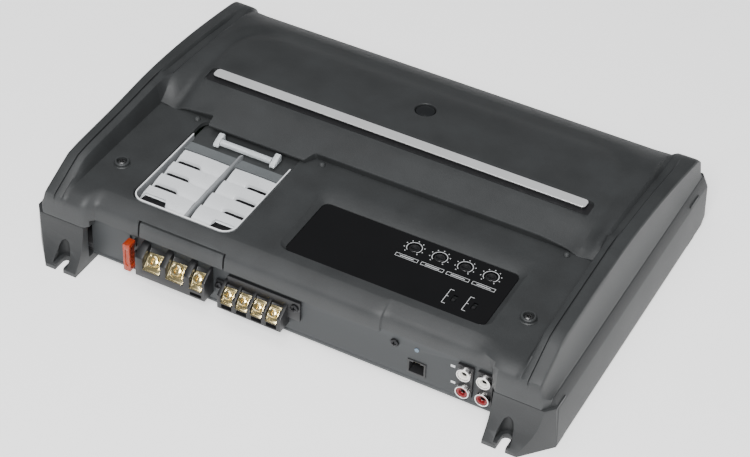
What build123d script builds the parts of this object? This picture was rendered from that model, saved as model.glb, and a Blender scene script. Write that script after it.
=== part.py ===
from build123d import *
from math import cos, radians, sin
import os

# Car amplifier. Millimetres, +Z up. The origin is on the mounting surface, under the middle of the
# body. The terminals face -Y and the long side runs along X.

# Driving dimensions
WIDTH = 325.0
DEPTH = 230.0
HALF_W = WIDTH / 2
HALF_D = DEPTH / 2
DECK_Z = 48.0
SEAM_Z = 29.5
BASE_Z = 5.5
WALL = 2.5
GAP = 0.3

# Top cover
CREST_X = 152.3
CREST_PEAK_Z = 61.5
RIDGE_X = 157.2
RAIL_INNER_X = 141.0
GROOVE_X = 145.3
CORNER_X = 124.5
COVER_FRONT_Y = -105.0
COVER_REAR_Y = 111.5
HUMP_FRONT_Y = -6.0
HUMP_Z = 58.6
TONGUE = (-102.0, -38.0, -13.0)
HOOD_END_X = 57.0
LIP_Z = 34.5

# Front panel and the things on it
PANEL_Y = -96.8
PANEL_T = 1.5
PANEL_X = (-126.7, 126.7)
PANEL_TOP_Z = 37.0
PANEL_SCREWS = ((-42.2, 20.6), (5.4, 26.0), (65.3, 28.0))
LED_AT = (78.4, 28.5)
BLOCK_FRONT_Y = -106.5
BLOCK_Z = 12.0
POWER_X = (-92.0, -47.0)
POWER_TOP_Z = 30.0
POWER_SCREW_X = (-81.5, -66.5, -52.8)
SPEAKER_X = (-39.0, 1.0)
SPEAKER_TOP_Z = 26.0
SPEAKER_PITCH = 9.4
SPEAKER_FIRST_X = -33.1
TOP_FALL = 4.0
PLATE_REACH = 5.7
SCREW_TILT = 45.0
SCREW_SHANK_R = 1.45
SCREW_CLEAR = 0.05
FUSE_X = -98.6
FUSE_Z = (10.5, 29.5)
FUSE_FRONT_Y = -105.0
RCA_X = (107.6, 119.2)
RCA_Z = (15.2, 27.5)
RCA_R = 4.15
RCA_BODY_R = 3.95
RCA_NECK_Y = -98.6
RCA_FRONT_Y = -101.0
SOCKET_X = (73.5, 84.5)
SOCKET_Z = (10.8, 20.5)

# Deck furniture
GRILLE = (-107.5, -42.5, -86.5, -15.0)
BAR = (-93.0, -52.2, -22.5, -13.3)
LABEL_POCKET = (-16.5, 111.5, -82.0, -27.5)
LABEL = (-12.5, 108.0, -80.2, -33.8)
LABEL_FLOOR_Z = 45.2
LABEL_TOP_Z = 46.0
DIAL_X = (48.0, 63.5, 78.9, 94.3)
DIAL_Y = -42.7
DIAL_R = 3.2
DIAL_SHAFT_R = 1.5
SWITCH_X = (84.9, 96.8)
SWITCH_Y = -68.4
SWITCH_TRAVEL = 2.0
STRIP_HALF = 119.5
STRIP_Y = (21.0, 28.0)
BOSS_X = 126.5
BOSS_Y = -65.0
INDICATOR = (3.5, 56.0)

# Inside
BOARD_Z = 14.0
BOARD_T = 1.6
CONTROL_Z = 29.0

# Feet
FOOT_INNER_X = 127.0
SLOT_X = 138.0
SLOT_W = 5.5
FOOT_FLOOR_T = 3.5
FLANK_X = 147.2
FLANK_TURN = 35.2
SCOOP_TOP_Z = 17.0


def block(x0, x1, y0, y1, z0, z1):
    """Axis-aligned box from its six limits."""
    size = (x1 - x0, y1 - y0, z1 - z0)
    return Pos((x0 + x1) / 2, (y0 + y1) / 2, (z0 + z1) / 2) * Box(*size)


def rounded(x0, x1, y0, y1, z0, z1, radius):
    """Box with its vertical edges rounded."""
    plan = Pos((x0 + x1) / 2, (y0 + y1) / 2, z0) * RectangleRounded(x1 - x0, y1 - y0, radius)
    return extrude(plan, z1 - z0)


def prism_x(outline, x0, x1):
    """Straight-sided outline in Y and Z, carried along X."""
    face = Plane.YZ * Polygon(*outline, align=None)
    return Pos(x0, 0, 0) * extrude(face, x1 - x0, dir=(1, 0, 0))


def prism_y(outline, y0, y1):
    """Straight-sided outline in X and Z, carried along Y."""
    face = Plane.XZ * Polygon(*outline, align=None)
    return Pos(0, y0, 0) * extrude(face, y1 - y0, dir=(0, 1, 0))


def rod_z(radius, x, y, z0, z1):
    return Pos(x, y, (z0 + z1) / 2) * Cylinder(radius, z1 - z0)


def rod_y(radius, x, z, y0, y1):
    return Pos(x, (y0 + y1) / 2, z) * Rot(90, 0, 0) * Cylinder(radius, y1 - y0)


def mirrored(shape):
    return mirror(shape, Plane.YZ)


def crown_face():
    """Side outline of the rails: steep front, long crown, rounded tail."""
    front = Polyline((COVER_FRONT_Y, SEAM_Z), (-104.5, 44.0), (-98.5, 48.0), (-79.0, 57.0))
    crown = Spline((-79.0, 57.0), (8.0, CREST_PEAK_Z), (60.0, 58.0), (101.0, 51.5))
    tail = Polyline((101.0, 51.5), (107.0, 49.0), (110.5, 44.0), (COVER_REAR_Y, SEAM_Z),
                    (COVER_FRONT_Y, SEAM_Z))
    return Plane.YZ * make_face([front, crown, tail])


def side_outline():
    """Cross-section between the two coved sides, from the ridge up to the crest."""
    cove = [(RIDGE_X, SEAM_Z), (RIDGE_X, 34.5), (155.4, 38.0), (154.0, 43.0), (153.2, 50.0), (CREST_X, 64.0)]
    return cove + [(-x, z) for x, z in reversed(cove)]


def under_crown():
    """Everything below the crown line, over the full width."""
    width = RIDGE_X + 1
    return Pos(-width, 0, 0) * extrude(crown_face(), 2 * width, dir=(1, 0, 0))


def cover_body():
    """Outer form of the cover before the deck is cut into it."""
    return under_crown() & prism_y(side_outline(), -HALF_D, HALF_D)


def front_cut(x0, x1, lip_y, lip_z):
    """Space in front of a rolled front edge."""
    outline = [
        (-HALF_D - 1, SEAM_Z - 1), (lip_y, SEAM_Z - 1), (lip_y, lip_z), (lip_y + 0.6, 40.5),
        (lip_y + 3.2, 44.6), (lip_y + 7.5, 47.1), (lip_y + 12.0, DECK_Z), (lip_y + 12.0, 66.0),
        (-HALF_D - 1, 66.0),
    ]
    return prism_x(outline, x0, x1)


def top_cover():
    cover = cover_body()
    deck_room = block(-RAIL_INNER_X, RAIL_INNER_X, -HALF_D, HUMP_FRONT_Y, DECK_Z, 70)
    hump_room = prism_x([(HUMP_FRONT_Y - 1, 55.0), (16.0, HUMP_Z - 0.6), (30.0, HUMP_Z), (62.0, HUMP_Z - 1.5),
                         (84.0, 54.6), (97.0, 50.6), (116.0, 44.0), (116.0, 70.0), (HUMP_FRONT_Y - 1, 70.0)],
                        -131, 131)
    cover = cover - deck_room - hump_room
    cover -= front_cut(-CORNER_X, HOOD_END_X, -99.4, 33.5)
    cover -= front_cut(HOOD_END_X, CORNER_X, -97.6, LIP_Z)
    cover -= block(-CORNER_X, HOOD_END_X, -HALF_D, -96.0, 20.0, 33.5)
    cover -= block(HOOD_END_X, CORNER_X, -HALF_D, -96.0, 20.0, LIP_Z)
    nose = [(TONGUE[2], 51.0), (TONGUE[2], 54.0), (HUMP_FRONT_Y + 1, 55.4), (HUMP_FRONT_Y + 1, 51.0)]
    tongue = prism_x(nose, TONGUE[0], TONGUE[1])
    cover += tongue
    room = [
        (-96.9, 20.0), (-96.9, 38.0), (-94.0, 42.5), (-88.0, DECK_Z - WALL), (-3.0, DECK_Z - WALL),
        (-3.0, 52.0), (20.0, 55.0), (60.0, 54.0), (90.0, 47.0), (107.0, 33.0), (107.0, 20.0),
    ]
    cavity = prism_x(room, -150.5, 150.5)
    tub = block(LABEL_POCKET[0] - WALL, LABEL_POCKET[1] + WALL, LABEL_POCKET[2] - WALL,
                LABEL_POCKET[3] + WALL, LABEL_FLOOR_Z - WALL, DECK_Z - WALL + 0.1)
    strip_floor = block(-STRIP_HALF - 6, STRIP_HALF + 6, 12.0, 31.0, 53.0, 56.5)
    collar = block(-BOSS_X - 4.5, -BOSS_X + 4.5, BOSS_Y - 4.5, BOSS_Y + 4.5, SEAM_Z, DECK_Z)
    cavity = cavity - tub - strip_floor - collar - mirrored(collar)
    cover -= cavity
    for side in (-1, 1):
        boss = rod_z(4.6, side * BOSS_X, BOSS_Y, DECK_Z - 1, DECK_Z + 2.5)
        cover = cover + boss - rod_z(3.0, side * BOSS_X, BOSS_Y, DECK_Z + 0.5, DECK_Z + 3)
        cover -= rod_z(1.6, side * BOSS_X, BOSS_Y, SEAM_Z - 1, DECK_Z + 3)
        groove = block(side * GROOVE_X - 0.35, side * GROOVE_X + 0.35, -110.0, 10.0, 43.0, 70.0)
        cover -= groove & groove_band()
    pocket = rounded(*LABEL_POCKET, LABEL_FLOOR_Z, 70.0, 6.0)
    cover -= pocket & block(-20, 120, -90, -20, 0, 60)
    for x in DIAL_X:
        cover -= rod_z(DIAL_R + 0.8, x, DIAL_Y, 40.0, 47.0)
    for x in SWITCH_X:
        cover -= block(x - 2.0, x + 2.0, SWITCH_Y - 3.5, SWITCH_Y + 3.5, 40.0, 47.0)
    cover -= rounded(GRILLE[0], GRILLE[1], GRILLE[2], HUMP_FRONT_Y - 1, 40.0, 50.9, 8.0)
    cover -= rounded(-STRIP_HALF - 3.5, STRIP_HALF + 3.5, 15.5, STRIP_Y[1] + 1.0, 57.0, 70.0, 3.0)
    cover -= rod_z(6.2, *INDICATOR, 56.2, 70.0)
    cover -= block(POWER_X[0] - 1.4, POWER_X[1] + 7.6, -101.0, -94.8, 28.0, 43.6)
    return cover


def groove_band():
    """Shallow band just under the crown, so that the groove keeps one depth."""
    return under_crown() - Pos(0, 0, -1.0) * under_crown()


def terminal_hood():
    """Snap-in part of the rolled edge over the power terminals."""
    outline = [(-94.8, 43.6), (-97.4, 41.9), (-99.2, 39.0), (-99.7, 36.0), (-99.7, 33.0), (-97.2, 33.0),
               (-97.2, 37.6), (-94.8, 41.2)]
    return prism_x(outline, POWER_X[0] - 1.0, POWER_X[1] + 7.2)


def foot(side):
    """Front corner of the skirt with its mounting foot, on the +X side unless mirrored."""
    face = [
        (COVER_FRONT_Y, SEAM_Z), (-105.6, 24.0), (-107.4, 16.0), (-110.8, 8.0), (-HALF_D, 2.5),
        (-HALF_D, 0.0), (-90.0, 0.0), (-90.0, SEAM_Z),
    ]
    body = prism_x(face, FOOT_INNER_X, HALF_W)
    # The flank runs back from the outer lobe to the long side.
    body -= Pos(FLANK_X, -HALF_D, 0) * Rot(0, 0, -FLANK_TURN) * Pos(20, 0, 20) * Box(40, 120, 60)
    body -= rod_z(4.6, SLOT_X, -107.5, FOOT_FLOOR_T, SCOOP_TOP_Z)
    body -= block(SLOT_X - 4.6, SLOT_X + 4.6, -HALF_D - 1, -107.5, FOOT_FLOOR_T, SCOOP_TOP_Z)
    body -= rod_z(SLOT_W / 2, SLOT_X, -107.5, -1.0, FOOT_FLOOR_T + 1)
    body -= block(SLOT_X - SLOT_W / 2, SLOT_X + SLOT_W / 2, -HALF_D - 1, -107.5, -1.0, FOOT_FLOOR_T + 1)
    body -= block(FOOT_INNER_X - 1, HALF_W - 3, -100.5, -80.0, -1.0, SEAM_Z - 3)
    body -= block(FOOT_INNER_X - 1, 150.0, PANEL_Y + PANEL_T, -89.0, -1.0, SEAM_Z + 1)
    return body if side > 0 else mirrored(body)


def skirt(side):
    """Long side skirt with a mounting foot at each end."""
    band = [
        (154.0, 33.9), (RIDGE_X + 0.1, 33.9), (160.9, 27.0), (HALF_W, 3.0), (HALF_W, 0.0),
        (HALF_W - 3.0, 0.0), (158.0, 26.0), (154.0, 29.0),
    ]
    rail = prism_y(band, -96.0, HALF_D)
    shelf = block(150.0, 159.5, -96.0, 106.0, 26.5, SEAM_Z)
    front = foot(1)
    rear = mirror(front, Plane.XZ)
    outside = [(RIDGE_X, SEAM_Z), (RIDGE_X, 70.0), (200.0, 70.0), (200.0, 20.0), (160.9, 27.0)]
    trim = prism_y(outside, -130.0, 130.0)
    body = front + rear - trim + rail + shelf
    body -= cover_body()
    return body if side > 0 else mirrored(body)


def heat_sink():
    """Aluminium tray that carries the power transistors, with ribs along its sides."""
    base = block(-150.0, 150.0, -95.0, 95.0, 7.0, 10.0)
    for side in (-1, 1):
        wall_x = sorted((side * 146.0, side * 150.0))
        base += block(wall_x[0], wall_x[1], -95.0, 95.0, 10.0, 31.0)
        for z in (13.0, 18.0, 23.0):
            rib_x = sorted((side * 150.0, side * 156.0))
            base += block(rib_x[0], rib_x[1], -88.0, 88.0, z, z + 1.6)
    return base


def bottom_plate():
    plate = block(-150.0, 150.0, -95.0, 95.0, BASE_Z, 7.0)
    for x in (-130, 130):
        for y in (-80, 80):
            plate -= rod_z(1.7, x, y, 0, 8)
    return plate


def front_panel():
    panel = block(PANEL_X[0], PANEL_X[1], PANEL_Y, PANEL_Y + PANEL_T, BASE_Z, PANEL_TOP_Z)
    panel -= block(POWER_X[0] + 3, POWER_X[1] - 3, -98, -90, BLOCK_Z + 2, POWER_TOP_Z - 2)
    panel -= block(SPEAKER_X[0] + 3, SPEAKER_X[1] - 3, -98, -90, BLOCK_Z + 2, SPEAKER_TOP_Z - 2)
    panel -= block(SOCKET_X[0], SOCKET_X[1], -98, -90, *SOCKET_Z)
    panel -= block(FUSE_X - 2.7, FUSE_X + 2.7, -98, -90, FUSE_Z[0] - 0.3, FUSE_Z[1] + 0.3)
    for x in RCA_X:
        panel -= block(x - 4.6, x + 4.6, -98, -90, RCA_Z[0] - 4.6, RCA_Z[1] + 4.6)
    panel -= rod_y(1.3, *LED_AT, -98, -90)
    for x, z in PANEL_SCREWS:
        panel -= rod_y(1.5, x, z, -98, -90)
    return panel


def rear_panel():
    return block(-118.0, 118.0, 95.2, 96.7, BASE_Z, 40.0)


def in_screw_frame(shape, x, y, z):
    """Put a shape drawn about +Z on the tilted axis of a terminal screw."""
    return Pos(x, y, z) * Rot(90 - SCREW_TILT, 0, 0) * shape


def screw_seats():
    """Screw positions: x, seat centre y, seat centre z, half width of the compartment."""
    seats = [(x, -101.6, BLOCK_Z + 10.2, w) for x, w in zip(POWER_SCREW_X, (5.6, 5.6, 4.0))]
    for i in range(4):
        seats.append((SPEAKER_FIRST_X + i * SPEAKER_PITCH, -102.4, BLOCK_Z + 8.0, 3.7))
    return seats


def terminal_block(x0, x1, top_z, seats, plinth):
    """Barrier block whose compartments open up and forward. Its top falls towards the front."""
    side = [(BLOCK_FRONT_Y, BLOCK_Z), (PANEL_Y, BLOCK_Z), (PANEL_Y, top_z), (PANEL_Y - 1.8, top_z),
            (BLOCK_FRONT_Y + 1.0, top_z - TOP_FALL), (BLOCK_FRONT_Y, top_z - TOP_FALL - 1.0)]
    body = prism_x(side, x0, x1)
    for x, y, z, half in seats:
        body -= in_screw_frame(Pos(0, 0, 15) * Box(2 * half, 30, 30), x, y, z)
    body += block(x0 + 4, x1 - 4, PANEL_Y - 0.1, -84.0, BLOCK_Z + 3, top_z - 3)
    for x, y, z, half in seats:
        body -= in_screw_frame(Cylinder(SCREW_SHANK_R + SCREW_CLEAR, 14), x, y, z)
    return body + plinth if plinth else body


def power_terminal_block():
    return terminal_block(*POWER_X, POWER_TOP_Z, screw_seats()[:3], None)


def speaker_terminal_block():
    flange = block(-44.5, 8.5, -98.6, PANEL_Y, 17.0, 24.0)
    flange += block(-37.0, 8.5, -98.6, PANEL_Y, 23.9, 30.0)
    flange -= rod_y(1.5, *PANEL_SCREWS[0], -100, -90)
    flange -= rod_y(1.5, *PANEL_SCREWS[1], -100, -90)
    core = block(SPEAKER_X[0] + 1, SPEAKER_X[1] - 1, -103, -96, BLOCK_Z + 0.5, SPEAKER_TOP_Z - 0.5)
    return terminal_block(*SPEAKER_X, SPEAKER_TOP_Z, screw_seats()[3:], flange - core)


def terminal_plates(seats):
    """Gold plates under the screws, each with a square washer on top."""
    plates = []
    for x, y, z, half in seats:
        plate = Pos(0, (4.2 - PLATE_REACH) / 2, 0.5) * Box(2 * half - 0.8, 4.2 + PLATE_REACH, 1.0)
        washer = Pos(0, -0.6, 1.4) * Box(min(2 * half - 1.6, 7.0), 6.4, 0.8)
        hole = Cylinder(SCREW_SHANK_R + SCREW_CLEAR, 6)
        plates.append(in_screw_frame(plate + washer - hole, x, y, z))
    return Compound(children=plates)


def terminal_screw(x, y, z, head_r):
    """Pan-head screw with a cross slot, on the tilted axis."""
    head = Pos(0, 0, 3.0) * Cylinder(head_r, 2.2)
    head -= Pos(0, 0, 4.0) * Box(2 * head_r - 1.2, 0.9, 1.6)
    head -= Pos(0, 0, 4.0) * Box(0.9, 2 * head_r - 1.2, 1.6)
    shank = Pos(0, 0, -1.4) * Cylinder(SCREW_SHANK_R, 6.8)
    return in_screw_frame(head + shank, x, y, z)


def blade_fuse():
    """Blade fuse standing on edge; its two blades reach back into the holder."""
    body = block(FUSE_X - 2.5, FUSE_X + 2.5, FUSE_FRONT_Y, -98.4, *FUSE_Z)
    body -= block(FUSE_X - 3, FUSE_X - 1.6, FUSE_FRONT_Y + 1.2, -98.0, FUSE_Z[0] + 3, FUSE_Z[1] - 3)
    for z in (FUSE_Z[0] + 2.5, FUSE_Z[1] - 7.7):
        body += block(FUSE_X - 0.4, FUSE_X + 0.4, -98.5, -88.0, z, z + 5.2)
    return body


def fuse_holder():
    holder = block(FUSE_X - 4.0, FUSE_X + 4.0, -95.3, -84.0, FUSE_Z[0] - 0.4, FUSE_Z[1] + 1)
    for z in (FUSE_Z[0] + 2.5, FUSE_Z[1] - 7.7):
        holder -= block(FUSE_X - 0.7, FUSE_X + 0.7, -96, -86.0, z - 0.3, z + 5.5)
    return holder


def speaker_input_socket():
    (x0, x1), (z0, z1) = SOCKET_X, SOCKET_Z
    shell = block(x0, x1, -97.4, -84.0, z0, z1)
    return shell - block(x0 + 1.2, x1 - 1.2, -98.0, -87.0, z0 + 1.4, z1 - 1.2)


def speaker_input_pins():
    pins = []
    for i in range(4):
        x = SOCKET_X[0] + 2.5 + 2.0 * i
        pins.append(block(x - 0.3, x + 0.3, -92.0, -87.0, 14.0, 14.6))
    return Compound(children=pins)


def rca_housing():
    """Black moulding behind the panel with one collar for each jack."""
    body = block(RCA_X[0] - 5.4, RCA_X[1] + 5.4, PANEL_Y + PANEL_T, -84.0, RCA_Z[0] - 5.0, RCA_Z[1] + 5.0)
    for x in RCA_X:
        body += block(x - 4.5, x + 4.5, -98.4, -95.0, RCA_Z[0] - 4.5, RCA_Z[1] + 4.5)
    for x in RCA_X:
        for z in RCA_Z:
            body -= rod_y(RCA_BODY_R, x, z, -99.0, -88.0) + rod_y(0.8, x, z, -88.5, -80.0)
    return body


def rca_parts(make):
    return Compound(children=[make(x, z) for x in RCA_X for z in RCA_Z])


def rca_shell(x, z):
    tube = rod_y(RCA_R, x, z, RCA_FRONT_Y, RCA_NECK_Y) + rod_y(RCA_BODY_R, x, z, RCA_NECK_Y - 0.1, -88.0)
    return tube - rod_y(RCA_R - 0.5, x, z, RCA_FRONT_Y - 1, -88.5) - rod_y(0.8, x, z, -90, -87)


def rca_insulator(x, z):
    ring = rod_y(RCA_R - 0.5, x, z, RCA_FRONT_Y + 0.5, -88.5)
    return ring - rod_y(1.8, x, z, RCA_FRONT_Y, -90.0) - rod_y(0.8, x, z, -91, -88)


def rca_contact(x, z):
    sleeve = rod_y(1.8, x, z, RCA_FRONT_Y + 2.0, -90.0) - rod_y(1.5, x, z, RCA_FRONT_Y, -91.0)
    return sleeve + rod_y(0.8, x, z, -90.5, -85.5)


def vent_grille():
    """Clear grille: a frame, a middle rib and two columns of sloping louvres."""
    x0, x1, y0, y1 = GRILLE
    frame = rounded(x0, x1, y0, y1 + 5.0, 43.5, 47.6, 8.0)
    frame -= rounded(x0 + 2.4, x1 - 2.4, y0 + 2.4, y1 - 9.0, 40.0, 50.0, 5.6)
    middle = (x0 + x1) / 2 + 1.5
    frame += block(middle - 1.4, middle + 1.4, y0 + 1.4, y1 - 8.0, 43.5, 47.0)
    for row in range(4):
        y = -79.5 + 12.3 * row
        louvre = [(y, 43.6), (y, 44.9), (y + 11.2, 46.9), (y + 11.2, 45.6)]
        frame += prism_x(louvre, x0 + 1.6, x1 - 1.6)
    return frame - block(BAR[0] - 0.1, BAR[1] + 0.1, BAR[2] - 0.1, y1 + 6.0, 45.3, 50.0)


def light_bar():
    """Clear bar with two lobed ends, lying in the rear of the grille."""
    x0, x1, y0, y1 = BAR
    bar = block(x0 + 1.0, x1 - 1.0, y0 + 2.5, y0 + 6.2, 45.3, 48.4)
    lobe = [(y0, 45.3), (y0, 46.6), (y1 - 3.2, 49.8), (y1, 50.4), (y1, 45.3)]
    for x in (x0, x1 - 3.5):
        bar += prism_x(lobe, x, x + 3.5)
    return bar


def label_plate():
    plate = rounded(*LABEL, LABEL_FLOOR_Z, LABEL_TOP_Z, 4.0)
    for x in DIAL_X:
        plate -= rod_z(DIAL_R + 0.3, x, DIAL_Y, 40.0, 50.0)
    for x in SWITCH_X:
        plate -= block(x - 1.3, x + 1.3, SWITCH_Y - 2.6, SWITCH_Y + 2.6, 40.0, 50.0)
    return plate


def adjuster(x):
    """Screwdriver-turned control: a slotted head on a thin shaft."""
    knob = rod_z(DIAL_R, x, DIAL_Y, 43.4, LABEL_TOP_Z - 0.2)
    knob -= block(x - 2.4, x + 2.4, DIAL_Y - 0.5, DIAL_Y + 0.5, 44.8, 47)
    return knob + rod_z(DIAL_SHAFT_R, x, DIAL_Y, CONTROL_Z + 5.0, 43.5)


def adjuster_pots():
    pots = []
    for x in DIAL_X:
        pot = block(x - 5.5, x + 5.5, DIAL_Y - 5.5, DIAL_Y + 5.5, CONTROL_Z + BOARD_T, CONTROL_Z + 8.0)
        pots.append(pot - rod_z(DIAL_SHAFT_R + SCREW_CLEAR, x, DIAL_Y, CONTROL_Z + 4.7, CONTROL_Z + 9))
    return Compound(children=pots)


def switch_slider(x):
    """Slide switch lever; it stands at the front end of its travel."""
    y = SWITCH_Y - SWITCH_TRAVEL / 2
    lever = block(x - 0.9, x + 0.9, y - 1.0, y + 1.0, CONTROL_Z + 6.0, LABEL_TOP_Z - 0.1)
    return lever + block(x - 1.8, x + 1.8, y - 1.5, y + 1.5, CONTROL_Z + 3.0, CONTROL_Z + 6.1)


def switch_bodies():
    bodies = []
    for x in SWITCH_X:
        body = block(x - 3.2, x + 3.2, SWITCH_Y - 5.0, SWITCH_Y + 5.0, CONTROL_Z + BOARD_T, CONTROL_Z + 8.0)
        body -= block(x - 2.1, x + 2.1, SWITCH_Y - 3.0, SWITCH_Y + 3.0, CONTROL_Z + 2.7, CONTROL_Z + 6.4)
        window = block(x - 1.2, x + 1.2, SWITCH_Y - 2.4, SWITCH_Y + 2.4, CONTROL_Z + 6, CONTROL_Z + 9)
        bodies.append(body - window)
    return Compound(children=bodies)


def trim_strip():
    return rounded(-STRIP_HALF, STRIP_HALF, *STRIP_Y, 57.0, 59.4, 3.0)


def indicator_lens():
    lens = rod_z(6.0, *INDICATOR, 56.2, 58.4)
    return fillet(lens.edges().group_by(Axis.Z)[-1], 0.8)


def cover_screws():
    screws = []
    for x in (-BOSS_X, BOSS_X):
        head = rod_z(2.8, x, BOSS_Y, DECK_Z + 0.5, DECK_Z + 2.9)
        head -= rod_z(1.3, x, BOSS_Y, DECK_Z + 1.4, DECK_Z + 4)
        screws.append(head + rod_z(1.5, x, BOSS_Y, 34.0, DECK_Z + 0.6))
    return Compound(children=screws)


def panel_screws():
    screws = []
    for (x, z), seat in zip(PANEL_SCREWS, (-98.6, -98.6, PANEL_Y)):
        head = rod_y(2.6, x, z, seat - 1.6, seat)
        head -= block(x - 2, x + 2, seat - 2, seat - 1.0, z - 0.35, z + 0.35)
        screws.append(head + rod_y(1.4, x, z, seat - 0.1, -90.0))
    return Compound(children=screws)


def bottom_screws():
    screws = []
    for x in (-130, 130):
        for y in (-80, 80):
            screws.append(rod_z(3.0, x, y, 3.9, BASE_Z) + rod_z(1.6, x, y, 5.4, 7.0))
    return Compound(children=screws)


def board_posts():
    posts = [rod_z(3.0, x, y, 10.0, BOARD_Z) for x in (-120, 120) for y in (-70, 70)]
    return Compound(children=posts)


def main_circuit_board():
    return block(-136.0, 136.0, -80.0, 84.0, BOARD_Z, BOARD_Z + BOARD_T)


def control_board():
    return block(38.0, 108.0, -80.0, -30.0, CONTROL_Z, CONTROL_Z + BOARD_T)


def board_connector():
    """Pin header that carries the control board over the main board."""
    legs = [block(x - 3, x + 3, -50.0, -34.0, BOARD_Z + BOARD_T, CONTROL_Z) for x in (44, 100)]
    return Compound(children=legs)


def toroid_transformer():
    ring = Torus(19.0, 10.0)
    ring = ring & block(-40, 40, -40, 40, -9.5, 9.5)
    return Pos(-60.0, 42.0, BOARD_Z + BOARD_T + 9.5) * ring


def filter_capacitors():
    """Tall electrolytic cans beside the transformer."""
    cans = [rod_z(9.0, x, 46.0, BOARD_Z + BOARD_T, 50.0) for x in (-10, 12, 34)]
    return Compound(children=cans)


def output_inductors():
    coils = [rod_z(8.0, x, 5.0, BOARD_Z + BOARD_T, 30.0) - rod_z(3.0, x, 5.0, 10, 31) for x in (62, 84)]
    return Compound(children=coils)


def power_transistors():
    """Rows of flat packages that stand against the heat sink's side walls."""
    packages = []
    for side in (-1, 1):
        for i in range(5):
            y = -56.0 + 28.0 * i
            limits = sorted((side * 141.2, side * 146.0))
            packages.append(block(limits[0], limits[1], y - 7.5, y + 7.5, 11.0, 29.0))
    return Compound(children=packages)


def transistor_clamps():
    bars = []
    for side in (-1, 1):
        limits = sorted((side * 138.7, side * 141.2))
        bars.append(block(limits[0], limits[1], -66.0, 66.0, 17.0, 25.0))
    return Compound(children=bars)


def power_led():
    x, z = LED_AT
    lens = rod_y(1.25, x, z, -97.2, -92.0) + block(x - 1.5, x + 1.5, -92.0, -88.0, z - 1.5, z + 1.5)
    return lens + block(x - 0.5, x + 0.5, -90.5, -89.5, SOCKET_Z[1], z - 1.5)


def build_all():
    seats = screw_seats()
    parts = {
        "top_cover": top_cover(),
        "terminal_hood": terminal_hood(),
        "left_skirt": skirt(-1),
        "right_skirt": skirt(1),
        "heat_sink": heat_sink(),
        "bottom_plate": bottom_plate(),
        "front_panel": front_panel(),
        "rear_panel": rear_panel(),
        "power_terminal_block": power_terminal_block(),
        "power_terminal_plates": terminal_plates(seats[:3]),
        "speaker_terminal_block": speaker_terminal_block(),
        "speaker_terminal_plates": terminal_plates(seats[3:]),
        "blade_fuse": blade_fuse(),
        "fuse_holder": fuse_holder(),
        "speaker_input_socket": speaker_input_socket(),
        "speaker_input_pins": speaker_input_pins(),
        "rca_housing": rca_housing(),
        "rca_shells": rca_parts(rca_shell),
        "rca_white_insulators": Compound(children=[rca_insulator(x, RCA_Z[1]) for x in RCA_X]),
        "rca_red_insulators": Compound(children=[rca_insulator(x, RCA_Z[0]) for x in RCA_X]),
        "rca_contacts": rca_parts(rca_contact),
        "vent_grille": vent_grille(),
        "light_bar": light_bar(),
        "label_plate": label_plate(),
        "adjuster_pots": adjuster_pots(),
        "switch_bodies": switch_bodies(),
        "trim_strip": trim_strip(),
        "indicator_lens": indicator_lens(),
        "cover_screws": cover_screws(),
        "panel_screws": panel_screws(),
        "bottom_screws": bottom_screws(),
        "board_posts": board_posts(),
        "main_circuit_board": main_circuit_board(),
        "control_board": control_board(),
        "board_connector": board_connector(),
        "toroid_transformer": toroid_transformer(),
        "filter_capacitors": filter_capacitors(),
        "output_inductors": output_inductors(),
        "power_transistors": power_transistors(),
        "transistor_clamps": transistor_clamps(),
        "power_led": power_led(),
    }
    names = ("battery", "ground", "remote")
    for name, (x, y, z, half) in zip(names, seats[:3]):
        parts[name + "_screw"] = terminal_screw(x, y, z, min(half - 1.0, 3.4))
    for i, (x, y, z, half) in enumerate(seats[3:], start=1):
        parts[f"speaker_screw_{i}"] = terminal_screw(x, y, z, 2.7)
    for name, x in zip(("gain", "lowpass", "highpass", "bass"), DIAL_X):
        parts[name + "_adjuster"] = adjuster(x)
    for name, x in zip(("filter", "mode"), SWITCH_X):
        parts[name + "_switch_slider"] = switch_slider(x)
    return parts


os.makedirs("parts", exist_ok=True)
for node, shape in build_all().items():
    export_step(shape, f"parts/{node}.step")
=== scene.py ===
import math
import bmesh
import bpy
from mathutils import Matrix, Vector


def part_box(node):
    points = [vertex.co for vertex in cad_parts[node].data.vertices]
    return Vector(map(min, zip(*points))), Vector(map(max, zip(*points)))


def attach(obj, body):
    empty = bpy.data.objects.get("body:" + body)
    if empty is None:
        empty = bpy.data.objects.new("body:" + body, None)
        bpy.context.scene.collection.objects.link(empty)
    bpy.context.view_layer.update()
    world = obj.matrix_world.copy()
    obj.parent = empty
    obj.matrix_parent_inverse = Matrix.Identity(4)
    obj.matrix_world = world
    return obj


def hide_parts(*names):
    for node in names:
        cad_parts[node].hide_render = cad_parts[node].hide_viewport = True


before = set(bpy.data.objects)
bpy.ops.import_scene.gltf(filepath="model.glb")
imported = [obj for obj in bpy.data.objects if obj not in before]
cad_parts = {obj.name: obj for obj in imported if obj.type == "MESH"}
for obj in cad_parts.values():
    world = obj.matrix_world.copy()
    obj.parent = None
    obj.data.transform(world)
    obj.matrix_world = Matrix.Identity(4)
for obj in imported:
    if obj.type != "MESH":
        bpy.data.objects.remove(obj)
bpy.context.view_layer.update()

# Sizes below are millimetres in the CAD frame and become metres when a mesh is made.
# Lights, and the camera's distance, are in metres.
MM = 0.001


def box_mm(node):
    """Lowest and highest corner of a CAD node, in millimetres."""
    low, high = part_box(node)
    return Vector(low) / MM, Vector(high) / MM


def middle_of(node):
    low, high = box_mm(node)
    return (low + high) / 2


# ---------------------------------------------------------------- mesh helpers

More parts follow.
